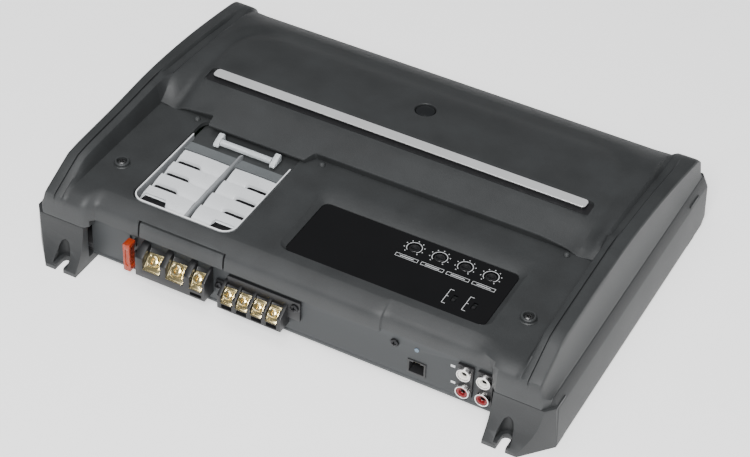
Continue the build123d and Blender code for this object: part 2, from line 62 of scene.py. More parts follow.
def new_object(name, verts, faces):
    mesh = bpy.data.meshes.new(name)
    mesh.from_pydata([Vector(v) * MM for v in verts], [], faces)
    mesh.validate()
    obj = bpy.data.objects.new(name, mesh)
    bpy.context.scene.collection.objects.link(obj)
    return fix_normals(obj)


def fix_normals(obj):
    bm = bmesh.new()
    bm.from_mesh(obj.data)
    bmesh.ops.recalc_face_normals(bm, faces=bm.faces)
    bm.to_mesh(obj.data)
    bm.free()
    return obj


def loft(name, rings):
    """Closed solid through rings of equal point count, capped at both ends."""
    n = len(rings[0])
    verts = [v for ring in rings for v in ring]
    faces = []
    for r in range(len(rings) - 1):
        for i in range(n):
            j = (i + 1) % n
            faces.append((r * n + i, r * n + j, (r + 1) * n + j, (r + 1) * n + i))
    faces.append(tuple(range(n)))
    faces.append(tuple((len(rings) - 1) * n + i for i in range(n)))
    return new_object(name, verts, faces)


def block(x0, x1, y0, y1, z0, z1):
    ring = [(x0, y0), (x1, y0), (x1, y1), (x0, y1)]
    return loft("block", [[(x, y, z) for x, y in ring] for z in (z0, z1)])


def prism_x(outline, x0, x1):
    """Outline in Y and Z carried along X."""
    return loft("prism", [[(x, y, z) for y, z in outline] for x in (x0, x1)])


def prism_y(outline, y0, y1):
    """Outline in X and Z carried along Y."""
    return loft("prism", [[(x, y, z) for x, z in outline] for y in (y0, y1)])


def rounded_ring(x0, x1, y0, y1, radius, steps=8):
    """Plan outline of a rectangle with round corners."""
    ring = []
    corners = ((x1 - radius, y0 + radius, -90), (x1 - radius, y1 - radius, 0),
               (x0 + radius, y1 - radius, 90), (x0 + radius, y0 + radius, 180))
    for cx, cy, start in corners:
        for k in range(steps + 1):
            a = math.radians(start + 90 * k / steps)
            ring.append((cx + radius * math.cos(a), cy + radius * math.sin(a)))
    return ring


def rounded(levels, steps=8):
    """Solid through rounded rectangles: levels holds (x0, x1, y0, y1, radius, z)."""
    rings = []
    for x0, x1, y0, y1, radius, z in levels:
        rings.append([(x, y, z) for x, y in rounded_ring(x0, x1, y0, y1, radius, steps)])
    return loft("rounded", rings)


def grown(low, high, grow, radius, z):
    """Level for rounded(): the outline of a box grown by a margin on all four sides."""
    return low.x - grow, high.x + grow, low.y - grow, high.y + grow, radius, z


def lathe(profile, place, segments=48):
    """Solid of revolution about +Z: profile holds (radius, z), closed onto the axis at both ends."""
    rings = []
    for radius, z in profile:
        radius = max(radius, 0.001)
        ring = []
        for k in range(segments):
            a = 2 * math.pi * k / segments
            ring.append(place @ Vector((radius * math.cos(a), radius * math.sin(a), z)))
        rings.append(ring)
    return loft("lathe", rings)


def tube(profile, place):
    """Ring-shaped solid of revolution: profile is a closed outline of (radius, z)."""
    n = len(profile)
    segments = 48
    verts = []
    for k in range(segments):
        a = 2 * math.pi * k / segments
        for radius, z in profile:
            verts.append(place @ Vector((radius * math.cos(a), radius * math.sin(a), z)))
    faces = []
    for k in range(segments):
        m = (k + 1) % segments
        for i in range(n):
            j = (i + 1) % n
            faces.append((k * n + i, k * n + j, m * n + j, m * n + i))
    return new_object("tube", verts, faces)


def at(x, y, z):
    return Matrix.Translation((x, y, z))


def facing_front(x, y, z):
    """Frame at a point whose +Z looks out of the front, along -Y."""
    return at(x, y, z) @ Matrix.Rotation(math.radians(90), 4, "X")


def placed(obj, place):
    """Turn and move a mesh by a matrix in millimetres."""
    fit = Matrix.Scale(MM, 4) @ place @ Matrix.Scale(1 / MM, 4)
    obj.data.transform(fit)
    return obj


def bake(obj):
    """Apply the modifiers of an object."""
    deps = bpy.context.evaluated_depsgraph_get()
    mesh = bpy.data.meshes.new_from_object(obj.evaluated_get(deps))
    old = obj.data
    obj.modifiers.clear()
    obj.data = mesh
    bpy.data.meshes.remove(old)
    return obj


def carve(obj, tools, operation="DIFFERENCE"):
    for tool in tools:
        mod = obj.modifiers.new("cut", "BOOLEAN")
        mod.operation = operation
        mod.solver = "EXACT"
        mod.object = tool
    bake(obj)
    for tool in tools:
        bpy.data.objects.remove(tool, do_unlink=True)
    return obj


def copy_of(obj):
    twin = obj.copy()
    twin.data = obj.data.copy()
    bpy.context.scene.collection.objects.link(twin)
    return twin


def join(objects):
    """Put several meshes into the first one."""
    bm = bmesh.new()
    for obj in objects:
        bm.from_mesh(obj.data)
    bm.to_mesh(objects[0].data)
    bm.free()
    for obj in objects[1:]:
        bpy.data.objects.remove(obj, do_unlink=True)
    return objects[0]


def soften(obj, width, segments=2, angle=32):
    """Round the edges that are sharper than an angle."""
    bm = bmesh.new()
    bm.from_mesh(obj.data)
    bmesh.ops.remove_doubles(bm, verts=bm.verts, dist=1e-6)
    bmesh.ops.dissolve_limit(bm, angle_limit=math.radians(1.0), verts=bm.verts, edges=bm.edges)
    bm.to_mesh(obj.data)
    bm.free()
    mod = obj.modifiers.new("bevel", "BEVEL")
    mod.width = width * MM
    mod.segments = segments
    mod.limit_method = "ANGLE"
    mod.angle_limit = math.radians(angle)
    mod.use_clamp_overlap = True
    return bake(obj)


def smooth(obj, angle=32):
    for polygon in obj.data.polygons:
        polygon.use_smooth = True
    obj.data.set_sharp_from_angle(angle=math.radians(angle))
    return obj


def piece(obj, name, material, body="amplifier", replaces=()):
    """Name a finished mesh, give it its material and let it ride with a CAD body."""
    obj.name = name
    obj.data.name = name
    obj.data.materials.clear()
    obj.data.materials.append(material)
    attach(obj, body)
    if replaces:
        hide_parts(*replaces)
    return obj


def mirror_x(obj):
    obj.data.transform(Matrix.Scale(-1, 4, (1, 0, 0)))
    return fix_normals(obj)


def mirror_y(obj):
    obj.data.transform(Matrix.Scale(-1, 4, (0, 1, 0)))
    return fix_normals(obj)


# ---------------------------------------------------------------- materials

def add_node(mat, kind, **values):
    """Add a shader node and set its inputs. A _ in an input's name stands for a space."""
    node = mat.node_tree.nodes.new("ShaderNode" + kind)
    for key, value in values.items():
        node.inputs[key.replace("_", " ")].default_value = value
    return node


def color_mix(mat):
    mix = add_node(mat, "Mix")
    mix.data_type = "RGBA"
    return mix


def paint_edge_highlight(mat, out, color, wear):
    """Painted highlight: lighter colour along the sharp edges, where they would catch light, mixed over the
    colour that comes out of a socket.
    """
    links = mat.node_tree.links
    geometry = add_node(mat, "NewGeometry")
    edge = add_node(mat, "MapRange", From_Min=0.53, From_Max=0.62, To_Max=wear)
    links.new(geometry.outputs["Pointiness"], edge.inputs["Value"])
    edge_lit = color_mix(mat)
    edge_lit.inputs["B"].default_value = [min(1, c * 2.2 + 0.02) for c in color] + [1]
    links.new(edge.outputs["Result"], edge_lit.inputs["Factor"])
    links.new(out, edge_lit.inputs["A"])
    return edge_lit.outputs["Result"]


def material(name, color, rough, metal=0.0, grain=0.0, grain_size=0.5, vary=0.08, wear=0.0, **extra):
    """Principled material with a fine grain in its bump, colour and roughness."""
    mat = bpy.data.materials.new(name)
    mat.use_nodes = True
    links = mat.node_tree.links
    shader = mat.node_tree.nodes["Principled BSDF"]
    shader.inputs["Metallic"].default_value = metal
    for key, value in extra.items():
        shader.inputs[key.replace("_", " ")].default_value = value
    coords = add_node(mat, "TexCoord")
    noise = add_node(mat, "TexNoise", Scale=1.0 / (grain_size * MM), Detail=3.0)
    blotch = add_node(mat, "TexNoise", Scale=45.0, Detail=4.0)
    for texture in (noise, blotch):
        links.new(coords.outputs["Object"], texture.inputs["Vector"])
    tone = add_node(mat, "Math")
    tone.operation = "ADD"
    links.new(noise.outputs["Fac"], tone.inputs[0])
    links.new(blotch.outputs["Fac"], tone.inputs[1])
    ramp = add_node(mat, "MapRange", From_Min=0.7, From_Max=1.3)
    links.new(tone.outputs[0], ramp.inputs["Value"])
    mix = color_mix(mat)
    mix.inputs["A"].default_value = [c * (1 - vary) for c in color] + [1]
    mix.inputs["B"].default_value = [min(1, c * (1 + vary)) for c in color] + [1]
    links.new(ramp.outputs["Result"], mix.inputs["Factor"])
    out = mix.outputs["Result"]
    # Painted highlight: sharp edges get a lighter colour, as if they caught the light.
    if wear:
        out = paint_edge_highlight(mat, out, color, wear)
    links.new(out, shader.inputs["Base Color"])
    rougher = add_node(mat, "MapRange", To_Min=max(0.02, rough * 0.88), To_Max=min(1.0, rough * 1.12))
    links.new(blotch.outputs["Fac"], rougher.inputs["Value"])
    links.new(rougher.outputs["Result"], shader.inputs["Roughness"])
    if grain:
        bump = add_node(mat, "Bump", Strength=grain, Distance=0.12 * MM)
        links.new(noise.outputs["Fac"], bump.inputs["Height"])
        links.new(bump.outputs["Normal"], shader.inputs["Normal"])
    return mat


def brushed(name, color, rough):
    """Metal with long fine scratches along X."""
    mat = material(name, color, rough, metal=0.45, vary=0.05)
    links = mat.node_tree.links
    coords = add_node(mat, "TexCoord")
    stretch = add_node(mat, "Mapping", Scale=(15, 3500, 3500))
    lines = add_node(mat, "TexNoise", Scale=1.0, Detail=3.0)
    bump = add_node(mat, "Bump", Strength=0.25, Distance=0.05 * MM)
    links.new(coords.outputs["Object"], stretch.inputs["Vector"])
    links.new(stretch.outputs["Vector"], lines.inputs["Vector"])
    links.new(lines.outputs["Fac"], bump.inputs["Height"])
    links.new(bump.outputs["Normal"], mat.node_tree.nodes["Principled BSDF"].inputs["Normal"])
    return mat


# The edge entry here and in the materials below paints a highlight along sharp edges, as if they caught the
# light.
MOULDED = {"rough": 0.52, "grain": 0.8, "grain_size": 0.45, "vary": 0.22, "wear": 0.25}
CHARCOAL = material("charcoal_plastic", (0.030, 0.032, 0.033), **MOULDED)
SKIRT = material("skirt_plastic", (0.022, 0.0235, 0.0245), **MOULDED)
PANEL = material("panel_paint", (0.031, 0.034, 0.036), 0.48, metal=0.2, grain=0.25, grain_size=0.3, wear=0.2)
BLACK = material("terminal_plastic", (0.010, 0.010, 0.011), 0.40, grain=0.3, grain_size=0.4, wear=0.15)
GOLD = material("gold_plate", (0.93, 0.77, 0.42), 0.20, metal=1.0, grain=0.12, grain_size=0.8, vary=0.10)
TIN = material("tinned_metal", (0.75, 0.74, 0.73), 0.22, metal=1.0, grain=0.08, vary=0.06)
WHITE = material("white_plastic", (0.80, 0.79, 0.74), 0.35, grain=0.05, vary=0.03)
RED = material("red_plastic", (0.20, 0.008, 0.010), 0.30, grain=0.05, vary=0.08)
FUSE = material("fuse_plastic", (0.60, 0.075, 0.022), 0.18, vary=0.15, Transmission_Weight=0.55, IOR=1.49)
LABEL = material("label_black", (0.003, 0.003, 0.0035), 0.22, grain=0.03, grain_size=0.3, vary=0.1)
PRINT = material("label_print", (0.62, 0.63, 0.64), 0.45, vary=0.05)
CLEAR = material("grille_plastic", (0.70, 0.72, 0.74), 0.28, vary=0.08, grain=0.05)
RIM = material("grille_rim", (0.90, 0.91, 0.92), 0.22, vary=0.05)
HAZE = material("grille_wall", (0.26, 0.27, 0.28), 0.25, vary=0.12)
SMOKE = material("grille_shelf", (0.13, 0.14, 0.145), 0.25, vary=0.12)
CRYSTAL = material("crystal_bar", (0.86, 0.90, 0.92), 0.08, vary=0.03, Transmission_Weight=0.35, IOR=1.49)
SILVER = brushed("brushed_trim", (0.80, 0.805, 0.81), 0.36)
LENS = material("indicator_plastic", (0.010, 0.011, 0.012), 0.25, vary=0.1)
SCREW = material("black_screw", (0.03, 0.03, 0.032), 0.35, metal=0.8, grain=0.1)
BRIGHT = material("bright_screw", (0.22, 0.22, 0.22), 0.25, metal=1.0, grain=0.1)
INNER = {
    "heat_sink": material("cast_aluminium", (0.30, 0.30, 0.31), 0.5, metal=0.9, grain=0.4, grain_size=1.2),
    "bottom_plate": material("black_paint", (0.03, 0.03, 0.032), 0.45, grain=0.2, wear=0.4),
    "circuit": material("circuit_board", (0.015, 0.10, 0.035), 0.3, vary=0.2),
    "copper": material("copper_winding", (0.45, 0.20, 0.06), 0.35, metal=0.6, grain=0.6, grain_size=0.9),
    "sleeve": material("can_sleeve", (0.02, 0.02, 0.035), 0.25),
    "ferrite": material("ferrite", (0.05, 0.05, 0.05), 0.7, grain=0.5),
    "led": material("led_plastic", (0.30, 0.42, 0.55), 0.15, Transmission_Weight=0.6),
    "case": material("pot_case", (0.30, 0.30, 0.30), 0.35, metal=0.8),
}


def paint_nodes():
    """Give the CAD nodes that stay in view, or inside, their materials."""
    plan = {
        "heat_sink": INNER["heat_sink"], "bottom_plate": INNER["bottom_plate"], "rear_panel": PANEL,
        "fuse_holder": BLACK, "speaker_input_pins": GOLD, "rca_housing": BLACK, "rca_contacts": TIN,
        "adjuster_pots": INNER["case"], "switch_bodies": INNER["case"], "bottom_screws": SCREW,
        "board_posts": TIN, "main_circuit_board": INNER["circuit"], "control_board": INNER["circuit"],
        "board_connector": BLACK, "toroid_transformer": INNER["copper"],
        "filter_capacitors": INNER["sleeve"], "output_inductors": INNER["ferrite"],
        "power_transistors": BLACK, "transistor_clamps": TIN, "power_led": INNER["led"],
        "filter_switch_slider": BLACK, "mode_switch_slider": BLACK,
    }
    for node, mat in plan.items():
        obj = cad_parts[node]
        obj.data.materials.clear()
        obj.data.materials.append(mat)
        obj.color = (1, 1, 1, 1)


# ---------------------------------------------------------------- cover

COVER_LOW, COVER_HIGH = box_mm("top_cover")
SEAM_Z = COVER_LOW.z
PEAK_Z = COVER_HIGH.z - 0.1
RIDGE_X = COVER_HIGH.x
GRILLE_LOW, GRILLE_HIGH = box_mm("vent_grille")
LABEL_LOW, LABEL_HIGH = box_mm("label_plate")
HOOD_LOW, HOOD_HIGH = box_mm("terminal_hood")
STRIP_LOW, STRIP_HIGH = box_mm("trim_strip")
DIALS = ("gain_adjuster", "lowpass_adjuster", "highpass_adjuster", "bass_adjuster")
SWITCHES = ("filter_switch_slider", "mode_switch_slider")
DECK_Z = 48.0
DECK_HALF = 139.0
WALL_Y = -6.0
TONGUE_Y = -13.0
CORNER_X = 124.5
HOOD_END = 57.0
LIP_Z = (33.5, 34.6)
NOSE_Y = -115
REAR_Y = 103
COVER_SCREWS_X = (-126.5, 126.5)
COVER_SCREWS_Y = -65
BUMPS_X = (-112.0, -29.0, 123.0)


def curve(points, t):
    """Smooth curve through (t, value) points, by monotone cubic pieces."""
    if t <= points[0][0]:
        return points[0][1]
    for k in range(len(points) - 1):
        (t0, v0), (t1, v1) = points[k], points[k + 1]
        if t <= t1:
            span = t1 - t0
            before = points[max(k - 1, 0)]
            after = points[min(k + 2, len(points) - 1)]
            m0 = (v1 - before[1]) / (t1 - before[0]) * span
            m1 = (after[1] - v0) / (after[0] - t0) * span
            s = (t - t0) / span
            return ((2 * s**3 - 3 * s**2 + 1) * v0 + (s**3 - 2 * s**2 + s) * m0
                    + (3 * s**2 - 2 * s**3) * v1 + (s**3 - s**2) * m1)
    return points[-1][1]


def step(a, b, t):
    """Smooth 0 to 1 between a and b."""
    s = min(1.0, max(0.0, (t - a) / (b - a)))
    return s * s * (3 - 2 * s)


# Crest of a rail and top of the raised rear part, as (y, z) points.
RAIL_LINE = [(-84, 54.9), (-79, 57.0), (-66, 57.9), (-48, 58.6), (-26, 59.6), (-6, 60.7), (10, 60.8),
             (27, 60.1), (50, 58.2), (74, 55.1), (92, 52.3), (100, 50.9), (103, 50.2)]
RAIL_TAIL = (49.2, 46.2, 41.0, 29.5)
COVE_X = 152.3
HUMP_LINE = [(-14, 50.9), (-6, 53.0), (2, 55.1), (10, 57.2), (13, 58.0), (16, 58.55), (20, 58.8), (40, 58.9),
             (62, 58.3), (71, 57.4), (80, 56.0), (88, 54.2), (96, 51.6), (103, 48.4)]
VALLEY_X = 129.0
VALLEY_Y = 82.0
VALLEY_R = 26.0


def wall_y(x):
    """Where the raised rear part starts: it reaches forward in a tongue over the grille."""
    left = step(-102.4, -101.6, x)
    right = 1 - step(-39.0, -34.0, x)
    return WALL_Y + (TONGUE_Y - WALL_Y) * left * right


def top_z(x, y):
    """Height of the raised rear part behind its front wall."""
    start = wall_y(x)
    tongue = (WALL_Y - start) / (WALL_Y - TONGUE_Y)
    across = abs(x)
    drop = 4.4 * min(1.0, max(0.0, (across - 104) / 35)) * (1 - step(-6, 34, y))
    full = curve(HUMP_LINE, y) - drop * (1 - tongue)
    # A shallow valley runs round the raised panel, along both ends and the rear.
    dx = max(across - (VALLEY_X - VALLEY_R), 0.0)
    dy = max(y - (VALLEY_Y - VALLEY_R), 0.0)
    reach = math.hypot(dx, dy) - VALLEY_R
    side = step(0.2, 0.8, dx / (dx + dy + 0.01))
    full -= (0.9 + 1.1 * side) * math.exp(-(reach / 4.6) ** 2)
    beside = curve(RAIL_LINE, y) - 1.6
    beside += (curve(HUMP_LINE, y) - beside) * step(50, 96, y)
    ramp = DECK_Z + 0.5 + (beside - DECK_Z) * step(-8, 9, y)
    return full + (ramp - full) * step(VALLEY_X - 1, DECK_HALF + 1, across) * (1 - tongue)


def front_paths():
    """Rolled front edge as (y, z) paths: over the terminals, at the corner block and along a rail."""
    hood = [(-84, 48), (-88.2, 48), (-89.2, 47.85), (-92.4, 46.6), (-95.4, 45.1), (-97.4, 43.6),
            (-98.6, 41.6), (-99.2, 38.8), (-99.5, 35.5), (-99.5, 32), (-99.5, SEAM_Z)]
    corner = [(-84, 48), (-88, 48), (-92, 48), (-95.5, 47.9), (-98.5, 47.4), (-101.3, 46.2), (-103.3, 44.6),
              (-104.4, 42.8), (-104.85, 40), (-105, 35), (-105, SEAM_Z)]
    rail = [(-84, 54.9), (-88, 53), (-92, 51), (-95.5, 49.3), (-98.7, 47.7), (-101.8, 46.2), (-103.8, 44.9),
            (-104.7, 43.2), (-104.95, 40), (-105, 35), (-105, SEAM_Z)]
    return hood, corner, rail


def body_stations():
    """Stations in Y along the deck and along the raised rear part. They are closer where it bends."""
    front = [-80, -72, -62, -50, -38, -28, -20, -14, -10, WALL_Y - 0.6, WALL_Y + 1.6]
    back = [WALL_Y, WALL_Y + 0.4, -4, -2, 0, 3, 6, 10, 14, 19, 26, 34, 42, 50, 57, 63, 68, 73, 78, 84, 90, 96,
            100, 102, REAR_Y]
    return front, back


def deck_point(x, k, kind):
    """Point of a column between the rails. kind says which stretch of stations k counts in."""
    if kind == "nose":
        hood, corner, _ = front_paths()
        w = step(121, 128, -x) if x < 0 else step(109 + 12.5 * step(3, 8, k), 127.5, x)
        y = hood[k][0] + 1.9 * step(HOOD_END - 1.0, HOOD_END + 1.0, x) * step(-84, -92, hood[k][0])
        z = hood[k][1]
        return x, y + (corner[k][0] - y) * w, z + (corner[k][1] - z) * w
    front, back = body_stations()
    shift = wall_y(x) - WALL_Y
    if kind == "deck":
        y = front[k] + shift * step(-32, WALL_Y - 2, front[k])
        return x, y, DECK_Z
    y = back[k] + shift * (1 - step(WALL_Y + 2, 12, back[k]))
    if k == 0:
        # The wall leans back under its top edge, so it lies in shadow.
        edge = top_z(x, y)
        return x, y + 0.25, edge - min(0.5, 0.5 * (edge - DECK_Z))
    return x, y, top_z(x, y)


def groove_depth(y):
    """Depth of the groove along a rail, which runs out beside the raised rear part."""
    return 1.3 * (1 - step(2, 12, y))


def rail_column(j, y, crest, inner_z):
    """Points across a rail from its foot on the deck to the bottom of the coved side."""
    peak = crest + 0.7 * step(-100, -60, y) * (1 - step(0, 30, y))
    depth = groove_depth(y)
    wall = 1 - step(4, 12, y)
    low = 2.4 * (1 - wall) * (1 - step(80, 100, y))
    across = [
        (139.3, inner_z + 0.25 * (crest - inner_z) * wall), (140.5, inner_z + 0.80 * (crest - low - inner_z)),
        (141.1, crest - 0.55 - low), (141.9, crest - 0.15 - low), (144.6, peak - 0.05 - low * 0.9),
        (144.95, peak - depth - low * 0.5), (145.8, peak - depth), (145.95, peak - 0.05),
        (150.6, crest + 0.05), (151.8, crest - 0.35), (COVE_X, crest - 1.1),
    ]
    if j < len(across):
        x, z = across[j]
        return x, min(z, PEAK_Z)
    cove = [(152.6, 0.88), (152.9, 0.74), (153.25, 0.60), (153.7, 0.47), (154.25, 0.35), (154.95, 0.24),
            (155.75, 0.14), (156.6, 0.055), (RIDGE_X - 0.1, 0.01), (RIDGE_X, -0.05)]
    x, g = cove[j - len(across)]
    base = SEAM_Z + 4.6 * step(SEAM_Z, 42, crest)
    return x, base + (crest - 1.1 - base) * g


RAIL_COLUMNS = 21
CORNER_CUT_X = 154.0
SPLAY = 3.2


def rail_points(j, rail, deck_column):
    """Column j of the right rail, beside the last column of the deck."""
    points = []
    for i, (_, deck_y, deck_z) in enumerate(deck_column):
        if i < len(rail):
            y, crest = rail[len(rail) - 1 - i]
        else:
            y = deck_y
            crest = curve(RAIL_LINE, y) if y <= REAR_Y else RAIL_TAIL[i - len(deck_column)]
        x, z = rail_column(j, y, crest, min(deck_z, crest))
        # The rails stand further apart towards the rear, and the front corners are cut off.
        splay = SPLAY * max(0.0, (y + 40) / 145) ** 1.3
        if x < COVE_X:
            x += splay * min((x - DECK_HALF) / 13.3, 1.0)
        else:
            x += splay * ((RIDGE_X - x) / (RIDGE_X - COVE_X))
        y += 1.42 * max(0.0, x - CORNER_CUT_X) * (1 - step(-105, -80, y))
        if i == 0 or i == len(deck_column) - 1:
            z = SEAM_Z
        points.append((x, y, max(z, SEAM_Z)))
    return points


def cover_grid():
    """Outer surface of the cover as columns of points from front to back."""
    plain = [-118, -110, -104, -96, -85, -74, -62, -50, -44, -30, -20, -10, 0, 12, 25, 38, 50, 62, 72, 84, 96,
             106, 112, 116, 119]
    edges = [-138.6, -137, -134.5, -132, -130, -128, -126.5, -125, -123.5, -122, -120, -102.6, -102.2, -101.8,
             -101.4, -39.2, -38, -36.5, -35, -33.8, 55.8, 56.5, 57, 57.5, 58.2, 122, 125, 128, 131, 134,
             136.5, 138.6]
    columns = []
    hood, _, rail = front_paths()
    front, back = body_stations()
    for x in sorted(plain + edges):
        points = [deck_point(x, k, "nose") for k in reversed(range(len(hood)))]
        points += [deck_point(x, k, "deck") for k in range(len(front))]
        points += [deck_point(x, k, "top") for k in range(len(back))]
        columns.append(points + [(x, 106.0, 44.0), (x, 109.5, 38.0), (x, 111.3, 34.3), (x, 111.5, SEAM_Z)])
    right = [rail_points(j, rail, columns[-1]) for j in range(RAIL_COLUMNS)]
    left = [[(-x, y, z) for x, y, z in points] for points in reversed(right)]
    return left + columns + right


def closed_grid(columns):
    """Solid under a grid of points, closed by the loop around its lower edge."""
    rows = len(columns[0])
    # Each long side gets one more column, all of it at the seam.
    for side in (0, -1):
        foot = [(x * (1 - 1e-4), y, SEAM_Z) for x, y, z in columns[side]]
        foot[0] = (foot[0][0] * 0.9999, foot[0][1] + 0.01, SEAM_Z)
        foot[-1] = (foot[-1][0] * 0.9999, foot[-1][1] - 0.01, SEAM_Z)
        if side == 0:
            columns = [foot] + columns
        else:
            columns = columns + [foot]
    verts = [p for column in columns for p in column]
    faces = []
    for c in range(len(columns) - 1):
        for r in range(rows - 1):
            a = c * rows + r
            faces.append((a, a + 1, a + rows + 1, a + rows))
    last = (len(columns) - 1) * rows
    rim = [c * rows for c in range(len(columns))]
    rim += [last + r for r in range(1, rows)]
    rim += [c * rows + rows - 1 for c in reversed(range(len(columns) - 1))]
    rim += list(reversed(range(1, rows - 1)))
    faces.append(tuple(reversed(rim)))
    return new_object("cover", verts, faces)


def cover_cavity():
    """Room inside the cover, less the bed of the label, the ledge under the strip and two screw posts."""
    outline = [(-96.9, 20), (-96.9, 38), (-94, 42.5), (-88, 45.5), (9, 45.5), (9, 52), (20, 55), (60, 54),
               (88, 47), (107, 33), (107, 20)]
    room = prism_x(outline, -150, 150)
    tub = block(LABEL_LOW.x - 6, LABEL_HIGH.x + 6, LABEL_LOW.y - 4, LABEL_HIGH.y + 9, 42.7, 46)
    ledge = block(-127, 127, 12, 31, 53.5, 57)
    posts = [lathe([(4.4, 20), (4.4, 46)], at(x, COVER_SCREWS_Y, 0)) for x in COVER_SCREWS_X]
    return carve(room, [tub, ledge] + posts)


def top_cutters():
    """Recesses in the top: the vent, the label's pocket, the strip's trough and the lens's eye."""
    low, high = GRILLE_LOW, GRILLE_HIGH
    hole = (low.x - 0.7, high.x + 0.7, low.y - 0.7)
    vent = rounded([(*hole, high.y + 6, 8.7, 40), (*hole, high.y + 6, 8.7, 48.6)])
    vent_flare = rounded([(*hole, WALL_Y - 5, 8.7, 47.3),
                          (low.x - 1.5, high.x + 1.5, low.y - 1.5, WALL_Y - 5, 9.5, 48.2)])
    low, high = LABEL_LOW, LABEL_HIGH
    dish = (low.x - 4.0, high.x + 3.5, low.y - 1.8, high.y + 6.3, 7.0)
    pocket = rounded([grown(low, high, 0.25, 4.2, low.z), grown(low, high, 0.25, 4.2, high.z),
                      (*dish, DECK_Z + 0.05), (*dish, DECK_Z + 2)])
    low, high = STRIP_LOW, STRIP_HIGH
    trough = (low.x - 3.6, high.x + 3.6, low.y - 5.0, high.y + 0.6, 2.6)
    groove = rounded([(*trough, low.z), (*trough, 70)])
    mid = middle_of("indicator_lens")
    bed_z = box_mm("indicator_lens")[0].z
    eye = lathe([(6.25, bed_z), (6.25, 58.0), (7.2, 59.3), (7.2, 70)], at(mid.x, mid.y, 0))
    return [vent, vent_flare, pocket, groove, eye]


def front_cutters():
    """Room for the hood, and the two heights of the front edge over the panel."""
    gap_y = HOOD_HIGH.y + 0.1
    hood_gap = block(HOOD_LOW.x - 1.2, HOOD_HIGH.x + 1.2, NOSE_Y, gap_y, 20, HOOD_HIGH.z + 0.1)
    left = block(-CORNER_X, HOOD_END, NOSE_Y, -96.0, 20, LIP_Z[0])
    right = block(HOOD_END - 0.01, CORNER_X, NOSE_Y, -96.0, 20, LIP_Z[1])
    return [hood_gap, left, right]


def control_cutters():
    """Holes in the label's bed for the adjusters and the switches."""
    holes = []
    for node in DIALS:
        mid = middle_of(node)
        holes.append(lathe([(4.0, 40), (4.0, 47)], at(mid.x, mid.y, 0)))
    for node in SWITCHES:
        mid = middle_of(node)
        holes.append(block(mid.x - 2, mid.x + 2, mid.y - 2.5, mid.y + 4.5, 40, 47))
    return holes


def bosses():
    """Round bosses around the two cover screws, and the small bumps beside the grille and the label."""
    made = []
    for x in COVER_SCREWS_X:
        profile = [(4.9, DECK_Z - 1.2), (4.9, DECK_Z + 0.25), (4.45, DECK_Z + 0.7), (4.3, DECK_Z + 2.1),
                   (3.9, DECK_Z + 2.6), (3.1, DECK_Z + 2.6), (3.0, DECK_Z + 0.6), (1.6, DECK_Z + 0.5),
                   (1.6, DECK_Z - 1.2)]
        made.append(tube(profile, at(x, COVER_SCREWS_Y, 0)))
    for x in BUMPS_X:
        profile = [(1.9, DECK_Z - 0.5), (1.9, DECK_Z + 0.6), (1.5, DECK_Z + 1.3), (0.8, DECK_Z + 1.7),
                   (0, DECK_Z + 1.8)]
        made.append(lathe(profile, at(x, WALL_Y - 2.2, 0), 24))
    return made


def build_cover():
    shell = closed_grid(cover_grid())
    carve(shell, [cover_cavity()])
    hood = copy_of(shell)
    region = block(HOOD_LOW.x, HOOD_HIGH.x, NOSE_Y, HOOD_HIGH.y - 0.2, LIP_Z[0], HOOD_HIGH.z - 0.9)
    carve(hood, [region], "INTERSECT")
    carve(shell, top_cutters() + front_cutters() + control_cutters())
    for x in COVER_SCREWS_X:
        carve(shell, [lathe([(3.0, 44), (3.0, 50)], at(x, COVER_SCREWS_Y, 0))])
    join([shell] + bosses())
    piece(smooth(shell, 28), "cover_shell", CHARCOAL, replaces=["top_cover"])
    piece(smooth(hood, 28), "hood_insert", CHARCOAL, replaces=["terminal_hood"])


# ---------------------------------------------------------------- skirts and feet

SKIRT_LOW, SKIRT_HIGH = box_mm("right_skirt")
SLOT_X = 138.0
SLOT_HALF = 2.75
FOOT_X = 127.0
FOOT_FLOOR = 3.5
SLOT_Y = -107.5


def foot_solid():
    """Front foot: a flared face, a slot for the fixing screw and a scoop for the screwdriver."""
    y0 = SKIRT_LOW.y
    top = SEAM_Z - 0.4
    face = [(-105, top), (-105.2, 26), (-105.8, 22), (-106.9, 17), (-108.7, 12), (-111, 8), (-113.4, 4.6),
            (y0, 2.6), (y0, 0), (-88, 0), (-88, top)]
    body = prism_x(face, FOOT_X, SKIRT_HIGH.x)
    turned = at(147.2, y0, 0) @ Matrix.Rotation(math.radians(-41.2), 4, "Z")
    flank = placed(block(0, 60, -60, 60, -5, 60), turned)
    funnel = [(4.9, FOOT_FLOOR), (4.6, 8), (3.9, 12.5), (2.5, 16.2), (0.8, 18)]
    scoop = lathe(funnel, at(SLOT_X, SLOT_Y, 0))
    scoop_front = lathe(funnel, at(SLOT_X - 0.2, SLOT_Y - 3, 0))
    scoop_way = block(SLOT_X - 4.7, SLOT_X + 4.7, y0 - 2, SLOT_Y, FOOT_FLOOR, 7.5)
    slot = lathe([(SLOT_HALF, -1), (SLOT_HALF, FOOT_FLOOR + 1)], at(SLOT_X, SLOT_Y, 0))
    slot_way = block(SLOT_X - SLOT_HALF, SLOT_X + SLOT_HALF, y0 - 2, SLOT_Y, -1, FOOT_FLOOR + 1)
    # The foot is hollow towards the body, and its outer side follows the slope of the band.
    room = block(FOOT_X - 1, SKIRT_HIGH.x - 3, -100.8, -80, 5, SEAM_Z - 2.5)
    side = prism_y([(160.5, 30), (160.5, 27.2), (162.1, 5), (162.2, -1), (170, -1), (170, 30)], -120, -70)
    return carve(body, [flank, scoop, scoop_front, scoop_way, slot, slot_way, room, side])


